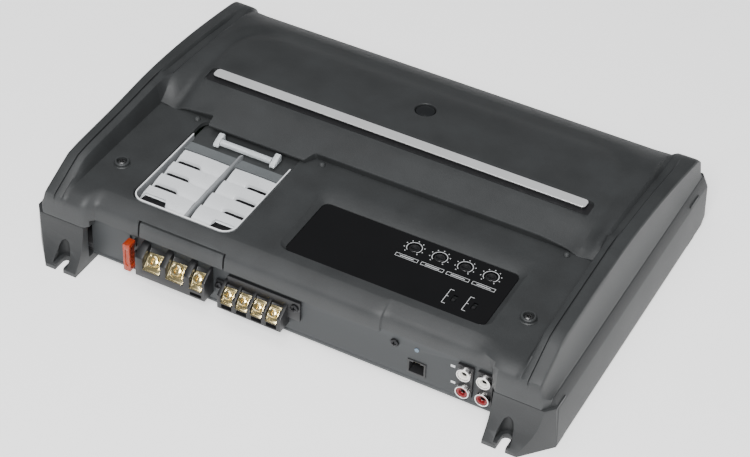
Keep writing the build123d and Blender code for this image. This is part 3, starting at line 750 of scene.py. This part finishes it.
def skirt_band():
    """Long side of the skirt: its section, carried from one foot to the other."""
    x1 = SKIRT_HIGH.x
    y1 = SKIRT_HIGH.y
    band = [(153.9, 33.7), (157.3, 33.9), (157.9, 33.2), (160.8, 27.2), (161.1, 26.2), (x1 - 0.1, 5),
            (x1, 1.2), (x1 - 0.6, 0), (x1 - 3, 0), (158, 26), (153.9, 29.5)]
    # The front end of the band turns in with the foot's flank.
    turn_in = ((-104, 5.7), (-101.5, 3.5), (-99.5, 1.8), (-97.6, 0.1), (0, 0.0), (98, 0.0), (y1 - 1.2, 0.2),
               (y1, 1.0))
    rings = [[(x - inward if x > 155 else x, y, z) for x, z in band] for y, inward in turn_in]
    rear_slope = prism_x([(y1 - 9, -1), (y1 + 1, -1), (y1 + 1, 6.6)], 150, 170)
    return carve(loft("band", rings), [rear_slope])


def build_skirts():
    front = soften(foot_solid(), 0.8, 3)
    # A web closes the gap between each rear foot and the rear panel.
    web = block(box_mm("rear_panel")[1].x + 0.3, FOOT_X + 0.5, 98.4, 100.4, 4, SEAM_Z - 0.4)
    rear = join([mirror_y(copy_of(front)), web])
    band = soften(skirt_band(), 0.4, 2, 25)
    shelf = block(150, 159, -97, 106, 26.5, SEAM_Z)
    right = join([front, rear, band, shelf])
    left = mirror_x(copy_of(right))
    piece(smooth(right, 30), "skirt_right", SKIRT, replaces=["right_skirt"])
    piece(smooth(left, 30), "skirt_left", SKIRT, replaces=["left_skirt"])


# ---------------------------------------------------------------- grille

GRILLE_BASE = GRILLE_LOW.z - 1.8
RIB_X = (GRILLE_LOW.x + GRILLE_HIGH.x) / 2 + 1.5
SHELF_Y = -24.0


def louvre(x0, x1, y, z, outer_end, notch):
    """One sloping blade. Its outer half is cut back in front to leave a dark slot."""
    rings = []
    for k in range(25):
        t = k / 24
        outer = t if outer_end > 0 else 1 - t
        cut = notch * step(0.42, 0.52, outer) * (1 - step(0.95, 1.0, outer))
        crown = 0.3 * math.sin(math.pi * t)
        lift = 0.25 * cut
        profile = [(y + cut, z + lift), (y + cut, z + 0.7 + lift),
                   (y + 1.6 + 0.6 * cut, z + 1.6 + lift + crown), (y + 5, z + 2.5 + crown),
                   (y + 9, z + 3.0 + crown), (y + 11.2, z + 3.1 + crown), (y + 11.3, z + 2.5 + crown),
                   (y + 7, z + 2.1 + crown), (y + 4.4, z + 1.3)]
        rings.append([(x0 + (x1 - x0) * t, py, pz) for py, pz in profile])
    return loft("louvre", rings)


def vent_blades():
    """Four rows of blades on each side of the rib."""
    blades = []
    for row in range(4):
        y = -81.0 + 12.4 * row
        notch = 5.2 if row == 0 else 3.3
        blades.append(louvre(GRILLE_LOW.x + 2.6, RIB_X - 1.9, y, GRILLE_BASE + 0.2, -1, notch))
        blades.append(louvre(RIB_X + 2.1, GRILLE_HIGH.x - 2.2, y, GRILLE_BASE + 0.2, 1, notch))
    return join(blades)


def vent_frame():
    """Thin wall round the blades, and the rib between them."""
    low, high = GRILLE_LOW, GRILLE_HIGH
    base, top = GRILLE_BASE, GRILLE_HIGH.z
    side = (low.x, high.x, low.y, high.y)
    wall = rounded([(*side, 8, base), (*side, 8, top - 0.2)])
    hole = rounded([(low.x + 0.9, high.x - 0.9, low.y + 1.2, high.y + 9, 7, base - 1),
                    (low.x + 0.7, high.x - 0.7, low.y + 1.0, high.y + 9, 7.2, top + 1)])
    carve(wall, [hole, block(low.x - 2, high.x + 2, SHELF_Y + 4, high.y + 2, 38, 50)])
    rib = prism_x([(low.y + 1.0, base), (low.y + 1.0, top - 1.6), (-60, top - 0.6), (-24, top - 0.2),
                   (-21.5, top - 1.2), (-21.5, base)], RIB_X - 0.7, RIB_X + 0.7)
    return join([wall, soften(rib, 0.4, 2)])


def vent_rim():
    """Bright upper edge of the wall."""
    low, high = GRILLE_LOW, GRILLE_HIGH
    top = high.z
    ring = rounded([(low.x, high.x, low.y, -12, 8, top - 0.6),
                    (low.x + 0.15, high.x - 0.15, low.y + 0.15, -12, 7.9, top - 0.02)])
    mouth = (low.x + 0.75, high.x - 0.75, low.y + 1.2, 5, 7)
    inner = rounded([(*mouth, 40), (*mouth, 50)])
    return carve(ring, [inner, block(low.x - 2, high.x + 2, SHELF_Y + 4, 5, 38, 50)])


def build_grille():
    low, high = GRILLE_LOW, GRILLE_HIGH
    base = GRILLE_BASE
    piece(smooth(vent_frame(), 30), "vent_frame", HAZE)
    piece(smooth(vent_blades(), 30), "vent_blades", CLEAR, replaces=["vent_grille"])
    piece(smooth(vent_rim()), "vent_rim", RIM)
    shelf = block(low.x + 1.0, high.x - 1.0, -31.2, SHELF_Y, base + 2.2, base + 3.0)
    ledge = block(low.x + 1.0, high.x - 1.0, -31.4, -30.4, base + 2.0, base + 3.5)
    piece(soften(join([shelf, ledge]), 0.1), "vent_shelf", SMOKE)
    deck = block(low.x - 0.1, high.x + 0.1, SHELF_Y, high.y + 5.5, base + 1.0, base + 2.0)
    piece(soften(deck, 0.1), "vent_deck", CHARCOAL)
    floor = block(low.x + 0.4, high.x - 0.4, low.y + 1, SHELF_Y, base - 2.0, base - 1.2)
    piece(soften(floor, 0.1), "vent_floor", BLACK)


def build_light_bar():
    low, high = box_mm("light_bar")
    front, back = low.y, high.y
    bar = prism_x([(front + 2.6, low.z), (front + 2.4, low.z + 2.4), (front + 3.2, low.z + 3.1),
                   (front + 5.4, low.z + 3.1), (front + 6.2, low.z + 2.4), (front + 6.2, low.z)],
                  low.x + 2, high.x - 2)
    lobe = [(front + 0.2, low.z), (front, low.z + 1.2), (front + 1.2, low.z + 2.4),
            (back - 3.2, high.z - 0.6), (back - 1.2, high.z), (back, high.z - 1.0), (back, low.z)]
    lobes = [prism_x(lobe, x - 1.7, x + 1.7) for x in (low.x + 1.8, high.x - 1.8)]
    whole = smooth(soften(carve(bar, lobes, "UNION"), 0.55, 3), 40)
    piece(whole, "crystal_light_bar", CRYSTAL, replaces=["light_bar"])


# ---------------------------------------------------------------- label and adjusters

PRINT_T = 0.05


def flat_ring(x, y, r0, r1, z, start, sweep):
    """Thin printed arc, lying on the label."""
    verts = []
    count = int(48 * sweep / 360)
    for k in range(count + 1):
        a = math.radians(start + sweep * k / count)
        for r in (r0, r1):
            for dz in (0, PRINT_T):
                verts.append((x + r * math.cos(a), y + r * math.sin(a), z + dz))
    faces = []
    for k in range(count):
        a, b = 4 * k, 4 * k + 4
        faces += [(a + 1, a + 3, b + 3, b + 1), (a, b, b + 2, a + 2), (a, a + 1, b + 1, b),
                  (a + 2, b + 2, b + 3, a + 3)]
    faces += [(0, 2, 3, 1), (4 * count, 4 * count + 1, 4 * count + 3, 4 * count + 2)]
    return new_object("arc", verts, faces)


def dash(x0, x1, y0, y1, z):
    return block(x0, x1, y0, y1, z, z + PRINT_T)


def frame_lines(x0, x1, y0, y1, z, w):
    return [dash(x0, x1, y0, y0 + w, z), dash(x0, x1, y1 - w, y1, z), dash(x0, x0 + w, y0 + w, y1 - w, z),
            dash(x1 - w, x1, y0 + w, y1 - w, z)]


def dial_marks(mid, z):
    """Printed arc, nine scale dots along it, and an empty box below."""
    marks = [flat_ring(mid.x, mid.y, 4.15, 4.5, z, -50, 280)]
    for k in range(9):
        angle = math.radians(-50 + 280 * k / 8)
        x = mid.x + 5.7 * math.cos(angle)
        y = mid.y + 5.7 * math.sin(angle)
        marks.append(dash(x - 0.3, x + 0.3, y - 0.3, y + 0.3, z))
    marks += frame_lines(mid.x - 6.8, mid.x + 6.8, mid.y - 10.6, mid.y - 8.0, z, 0.25)
    marks.append(dash(mid.x - 4.2, mid.x + 4.2, mid.y - 9.6, mid.y - 9.1, z))
    return marks


def switch_marks(mid, z):
    """Printed bracket beside a switch, with a tick for each position."""
    marks = [dash(mid.x - 4.9, mid.x - 4.6, mid.y - 5.0, mid.y + 6.8, z)]
    for reach, y in ((2.6, 6.5), (2.6, -5.0), (3.4, 0.9)):
        marks.append(dash(mid.x - 4.6, mid.x - reach, mid.y + y, mid.y + y + 0.3, z))
    return marks


def build_label():
    low, high = LABEL_LOW, LABEL_HIGH
    plate = rounded([grown(low, high, 0, 4, low.z), grown(low, high, 0, 4, high.z - 0.25),
                     grown(low, high, -0.25, 3.8, high.z - 0.02)])
    holes = []
    marks = []
    top = high.z - 0.03
    for node in DIALS:
        mid = middle_of(node)
        holes.append(lathe([(3.5, 40), (3.5, 50)], at(mid.x, mid.y, 0)))
        marks += dial_marks(mid, top)
    for node in SWITCHES:
        mid = middle_of(node)
        holes.append(block(mid.x - 1.3, mid.x + 1.3, mid.y - 1.6, mid.y + 3.6, 40, 50))
        marks += switch_marks(mid, top)
    carve(plate, holes)
    piece(smooth(plate), "label_panel", LABEL, replaces=["label_plate"])
    piece(join(marks), "label_marks", PRINT)


def build_adjusters():
    for node in DIALS:
        low, high = box_mm(node)
        mid = (low + high) / 2
        head = lathe([(1.5, low.z), (1.5, 43.5), (3.1, 43.5), (3.2, 43.8), (3.2, high.z - 0.3), (2.9, high.z),
                      (2.2, high.z - 0.1), (1.9, high.z - 0.7), (0, high.z - 0.8)], at(mid.x, mid.y, 0))
        slot = block(mid.x - 2.4, mid.x + 2.4, mid.y - 0.45, mid.y + 0.45, high.z - 1.6, high.z + 1)
        mark = block(mid.x - 0.45, mid.x + 0.45, mid.y - 2.4, mid.y, high.z - 1.4, high.z + 1)
        carve(head, [slot, mark])
        piece(smooth(head), node + "_head", BLACK, body=node, replaces=[node])


# ---------------------------------------------------------------- trim, lens, screws

def build_trim():
    low, high = STRIP_LOW, STRIP_HIGH
    levels = [grown(low, high, 0, 2.2, high.z - 0.55), grown(low, high, 0, 2.2, high.z - 0.15),
              grown(low, high, -0.15, 2.1, high.z)]
    piece(smooth(rounded(levels, 12)), "silver_strip", SILVER, replaces=["trim_strip"])
    # Painted shade: the strip's foot and a liner over the groove floor are black where the charcoal groove
    # lies in shadow.
    foot = rounded([grown(low, high, -0.2, 2.0, low.z), grown(low, high, -0.2, 2.0, high.z - 0.55)])
    gutter = (low.x - 3.4, high.x + 3.4, low.y - 3.0, high.y + 0.4, 2.4)
    base = join([foot, rounded([(*gutter, low.z - 0.2), (*gutter, low.z + 0.15)])])
    piece(smooth(base), "strip_groove_shade", BLACK)
    low, high = box_mm("indicator_lens")
    mid = (low + high) / 2
    lens = lathe([(5.9, low.z), (5.9, high.z - 1.2), (5.5, high.z - 0.7), (4, high.z - 0.25),
                  (2, high.z - 0.05), (0, high.z)], at(mid.x, mid.y, 0))
    piece(smooth(lens), "round_indicator", LENS, replaces=["indicator_lens"])


def screw_head(place, radius, height):
    """Pan head with a cross recess."""
    head = lathe([(radius - 0.1, 0), (radius, 0.15), (radius, height * 0.45), (radius * 0.9, height * 0.78),
                  (radius * 0.6, height * 0.97), (0, height)], Matrix.Identity(4), 32)
    arm = radius * 0.62
    wide = radius * 0.17
    cutters = []
    for sx, sy in ((arm, wide), (wide, arm)):
        bottom = [(-sx * 0.4, -sy * 0.6), (sx * 0.4, -sy * 0.6), (sx * 0.4, sy * 0.6), (-sx * 0.4, sy * 0.6)]
        mouth = [(-sx, -sy), (sx, -sy), (sx, sy), (-sx, sy)]
        cutters.append(loft("cross", [[(x, y, height * 0.3) for x, y in bottom],
                                      [(x, y, height * 1.1) for x, y in mouth]]))
    carve(head, cutters)
    return placed(head, place)


def build_screws():
    top = []
    for x in COVER_SCREWS_X:
        top.append(screw_head(at(x, COVER_SCREWS_Y, DECK_Z + 0.5), 2.5, 1.7))
        top.append(lathe([(1.5, 34), (1.5, DECK_Z + 0.6)], at(x, COVER_SCREWS_Y, 0), 24))
    piece(smooth(join(top)), "cover_screw_pair", BRIGHT, replaces=["cover_screws"])
    front = []
    for x, y, z in PANEL_SCREWS:
        front.append(screw_head(facing_front(x, y, z), 2.5, 1.5))
        front.append(lathe([(1.4, -6.5), (1.4, 0.1)], facing_front(x, y, z), 20))
    piece(smooth(join(front)), "panel_screw_set", SCREW, replaces=["panel_screws"])


# ---------------------------------------------------------------- front panel

PANEL_LOW, PANEL_HIGH = box_mm("front_panel")
POWER_LOW, POWER_HIGH = box_mm("power_terminal_block")
SPEAKER_LOW = box_mm("speaker_terminal_block")[0]
SOCKET_LOW, SOCKET_HIGH = box_mm("speaker_input_socket")
FUSE_LOW, FUSE_HIGH = box_mm("blade_fuse")
RCA_X = (107.6, 119.2)
RCA_Z = (15.2, 27.5)
RCA_FRONT = box_mm("rca_shells")[0].y
PANEL_SCREWS = ((-42.2, -98.6, 20.6), (5.4, -98.6, 26.0), (65.3, PANEL_LOW.y, 28.0))
LED_AT = (78.4, 28.5)


def build_panel():
    low, high = PANEL_LOW, PANEL_HIGH
    panel = block(low.x, high.x, low.y, high.y, low.z, high.z)
    through = (-98, -90)
    cuts = [
        block(POWER_LOW.x + 3, POWER_HIGH.x - 3, *through, POWER_LOW.z + 2, 23.5),
        block(-36, -2, *through, 14, 20.5),
        block(73.5, 84.5, *through, 10.8, 20.5),
        block(FUSE_LOW.x - 0.3, FUSE_HIGH.x + 0.3, *through, FUSE_LOW.z - 0.3, FUSE_HIGH.z + 0.3),
        lathe([(1.3, -3), (1.3, 3)], facing_front(LED_AT[0], low.y, LED_AT[1]), 24),
    ]
    for x in RCA_X:
        cuts.append(block(x - 4.6, x + 4.6, *through, RCA_Z[0] - 4.6, RCA_Z[1] + 4.6))
    for x, _, z in PANEL_SCREWS:
        cuts.append(lathe([(1.5, -4), (1.5, 4)], facing_front(x, low.y, z), 20))
    carve(panel, cuts)
    lip = prism_x([(low.y, low.z), (low.y - 0.5, low.z + 0.2), (low.y - 0.5, low.z + 1.4),
                   (low.y, low.z + 1.8)], low.x, high.x)
    piece(smooth(join([panel, lip])), "front_panel_sheet", PANEL, replaces=["front_panel"])
    tags = []
    for z, x in ((27.3, 99.7), (16.0, 100.5)):
        tags.append(block(x - 1.3, x + 1.3, low.y - 0.06, low.y, z - 0.8, z + 0.8))
    piece(join(tags), "jack_tags", PRINT)


TILT = Matrix.Rotation(math.radians(45), 4, "X")
POWER_TOP_Z = 30.0
SPEAKER_TOP_Z = 26.0
SPEAKER_X = (-39, 1)
FLANGE_Y = -98.6
# Each screw's seat is its middle and half the width of its compartment.
SEATS = [(x, -101.6, 22.2, half) for x, half in ((-81.5, 5.6), (-66.5, 5.6), (-52.8, 4.0))]
SEATS += [(-33.1 + 9.4 * i, -102.4, 20.0, 3.7) for i in range(4)]


def seat_frame(seat):
    """Frame on a seat whose +Z is the screw's axis."""
    return at(*seat[:3]) @ TILT


def terminal_block(x0, x1, front_y, z0, z1, seats, slot_z):
    """Barrier block with one open compartment for each screw. Its top rises towards the panel."""
    back_y = PANEL_LOW.y
    side = [(front_y, z0), (back_y, z0), (back_y, z1), (back_y - 1.8, z1), (front_y + 1, z1 - 4),
            (front_y, z1 - 5)]
    body = prism_x(side, x0, x1)
    cuts = []
    for seat in seats:
        half = seat[3]
        cuts.append(placed(block(-half, half, -15, 15, 0, 30), seat_frame(seat)))
        if slot_z:
            reach = half - 0.5
            cuts.append(block(seat[0] - reach, seat[0] + reach, front_y - 1, front_y + 2.5, *slot_z))
    carve(body, cuts)
    return soften(body, 0.3, 2)


def terminal_plates(seats, reach):
    """Gold plate with a folded front, a clamp and two ears on each seat, in one mesh."""
    plates = []
    for seat in seats:
        half = seat[3] - 0.4
        plate = block(-half, half, -reach, 4.2, 0, 0.9)
        fold = block(-half, half, -reach, -reach + 0.8, 0.1, 1.5)
        clamp_half = min(half - 0.4, 3.6)
        clamp = block(-clamp_half, clamp_half, -3.6, 2.8, 1.0, 1.6)
        ears = [block(s * clamp_half - 0.3, s * clamp_half + 0.3, -3.6, 2.8, 1.0, 2.3) for s in (-1, 1)]
        body = carve(plate, [fold, clamp] + ears, "UNION")
        body = carve(body, [lathe([(1.5, -2), (1.5, 4)], Matrix.Identity(4), 24)])
        plates.append(placed(soften(body, 0.12, 2), seat_frame(seat)))
    return join(plates)


def build_terminals():
    front, bottom = POWER_LOW.y, POWER_LOW.z
    power = terminal_block(POWER_LOW.x, POWER_HIGH.x, front, bottom, POWER_TOP_Z, SEATS[:3], None)
    carve(power, [block(-56.4, -49.2, front - 1, front + 2.5, 13.4, 15.6)])
    piece(smooth(power), "power_block", BLACK, replaces=["power_terminal_block"])
    speaker = terminal_block(*SPEAKER_X, SPEAKER_LOW.y, SPEAKER_LOW.z, SPEAKER_TOP_Z, SEATS[3:], (13.0, 15.6))
    wings = soften(block(-44.5, 8.5, FLANGE_Y, PANEL_LOW.y, 17, 24), 0.4, 2)
    back = soften(block(-37, 8.5, FLANGE_Y, PANEL_LOW.y, 23.5, 30), 0.4, 2)
    whole = smooth(join([speaker, wings, back]))
    piece(whole, "speaker_block", BLACK, replaces=["speaker_terminal_block"])
    for name, seats, node, reach in (("power_plates", SEATS[:3], "power_terminal_plates", 6.6),
                                     ("speaker_plates", SEATS[3:], "speaker_terminal_plates", 5.6)):
        piece(smooth(terminal_plates(seats, reach)), name, GOLD, replaces=[node])
    names = ["battery_screw", "ground_screw", "remote_screw"] + [f"speaker_screw_{i}" for i in range(1, 5)]
    for name, seat in zip(names, SEATS):
        radius = (min(seat[3] - 1, 3.4) if seat[3] > 3.9 else 2.7) - 0.05
        head = screw_head(seat_frame(seat) @ at(0, 0, 2.0), radius, 2.1)
        shank = lathe([(1.45, -4.7), (1.45, 2.1)], seat_frame(seat), 24)
        piece(smooth(join([head, shank])), name + "_head", GOLD, body=name, replaces=[name])


def build_fuse():
    low, high = FUSE_LOW, FUSE_HIGH
    body = block(low.x + 0.3, high.x - 0.3, low.y, -98.6, low.z, high.z)
    # Both broad sides are recessed, and so is the face between them.
    left = block(low.x - 1, low.x + 1.2, low.y + 1.3, -98, low.z + 3, high.z - 3)
    right = block(high.x - 1.2, high.x + 1, low.y + 1.3, -98, low.z + 3, high.z - 3)
    face = block(low.x + 1.6, high.x - 1.6, low.y - 1, low.y + 0.8, low.z + 4, high.z - 4)
    carve(body, [left, right, face])
    body = smooth(soften(body, 0.3, 2))
    piece(body, "fuse_body", FUSE, body="blade_fuse", replaces=["blade_fuse"])
    mid = (low.x + high.x) / 2
    blades = [block(mid - 0.4, mid + 0.4, -103, high.y, z, z + 5.2) for z in (low.z + 2.5, high.z - 7.7)]
    piece(join(blades), "fuse_blades", TIN, body="blade_fuse")


def build_jacks():
    profile = [(4.15, -13), (4.15, -0.25), (4.0, 0), (3.45, 0), (3.3, -0.3), (3.3, -12.5)]
    shells = [tube(profile, facing_front(x, RCA_FRONT, z)) for x in RCA_X for z in RCA_Z]
    piece(smooth(join(shells)), "jack_shells", TIN, replaces=["rca_shells"])
    profile = [(3.25, -12), (3.25, -0.7), (3.0, -0.4), (2.4, -0.4), (2.0, -0.7), (1.85, -2.2), (1.85, -12)]
    for color, z, mat in (("white", RCA_Z[1], WHITE), ("red", RCA_Z[0], RED)):
        rings = join([tube(profile, facing_front(x, RCA_FRONT, z)) for x in RCA_X])
        node = f"rca_{color}_insulators"
        piece(smooth(rings), f"jack_rings_{color}", mat, replaces=[node])


def build_socket():
    low, high = SOCKET_LOW, SOCKET_HIGH
    shell = block(low.x, high.x, low.y, high.y, low.z, high.z)
    mouth = block(low.x + 1.2, high.x - 1.2, low.y - 1, -87, low.z + 1.4, high.z - 1.2)
    notch = block(low.x + 3.5, high.x - 3.5, low.y - 1, -90, high.z - 1.3, high.z - 0.5)
    carve(shell, [mouth, notch])
    shell = smooth(soften(shell, 0.2, 2))
    piece(shell, "input_socket", BLACK, replaces=["speaker_input_socket"])


# ---------------------------------------------------------------- stage, lights, camera

FLOOR_REACH = 3000


def area_light(name, place, target, width, height, power):
    data = bpy.data.lights.new(name, "AREA")
    data.shape = "RECTANGLE"
    data.size = width
    data.size_y = height
    data.energy = power
    lamp = bpy.data.objects.new(name, data)
    bpy.context.scene.collection.objects.link(lamp)
    lamp.location = place
    lamp.rotation_euler = (Vector(target) - Vector(place)).to_track_quat("-Z", "Y").to_euler()


def build_stage():
    r = FLOOR_REACH
    floor = new_object("floor", [(-r, -r, 0), (r, -r, 0), (r, r, 0), (-r, r, 0)], [(0, 1, 2, 3)])
    mat = material("white_floor", (0.90, 0.90, 0.90), 0.7, vary=0.01, Emission_Color=(1, 1, 1, 1),
                   Emission_Strength=0.9)
    floor.data.materials.append(mat)
    world = bpy.data.worlds.new("studio")
    world.use_nodes = True
    world.node_tree.nodes["Background"].inputs["Color"].default_value = (0.95, 0.97, 1.0, 1)
    world.node_tree.nodes["Background"].inputs["Strength"].default_value = 0.20
    bpy.context.scene.world = world
    area_light("key", (0.40, -1.15, 1.25), (0, 0, 0.03), 0.8, 0.6, 38)
    area_light("top", (-0.2, -0.2, 1.6), (0, 0, 0.03), 1.0, 1.0, 10)
    area_light("side", (1.5, 0.1, 0.5), (0.1, 0, 0.03), 0.7, 0.6, 1)


CAMERA_AZ = math.radians(26.28)
CAMERA_EL = math.radians(40.33)
CAMERA_ROLL = math.radians(2.89)
CAMERA_TARGET = Vector((8.31, -12.0, 20.0)) * MM
CAMERA_DISTANCE = 1.179


def build_camera():
    level = math.cos(CAMERA_EL)
    back = Vector((math.sin(CAMERA_AZ) * level, -math.cos(CAMERA_AZ) * level, math.sin(CAMERA_EL)))
    right = Vector((math.cos(CAMERA_AZ), math.sin(CAMERA_AZ), 0))
    up = back.cross(right)
    rolled_right = math.cos(CAMERA_ROLL) * right + math.sin(CAMERA_ROLL) * up
    rolled_up = math.cos(CAMERA_ROLL) * up - math.sin(CAMERA_ROLL) * right
    turn = Matrix((rolled_right, rolled_up, back)).transposed().to_4x4()
    data = bpy.data.cameras.new("camera")
    data.lens = 99.56
    data.sensor_width = 36
    camera = bpy.data.objects.new("camera", data)
    bpy.context.scene.collection.objects.link(camera)
    camera.matrix_world = Matrix.Translation(CAMERA_TARGET + back * CAMERA_DISTANCE) @ turn
    bpy.context.scene.camera = camera


paint_nodes()
build_cover()
build_skirts()
build_grille()
build_light_bar()
build_label()
build_adjusters()
build_trim()
build_screws()
build_panel()
build_terminals()
build_fuse()
build_jacks()
build_socket()
build_stage()
build_camera()
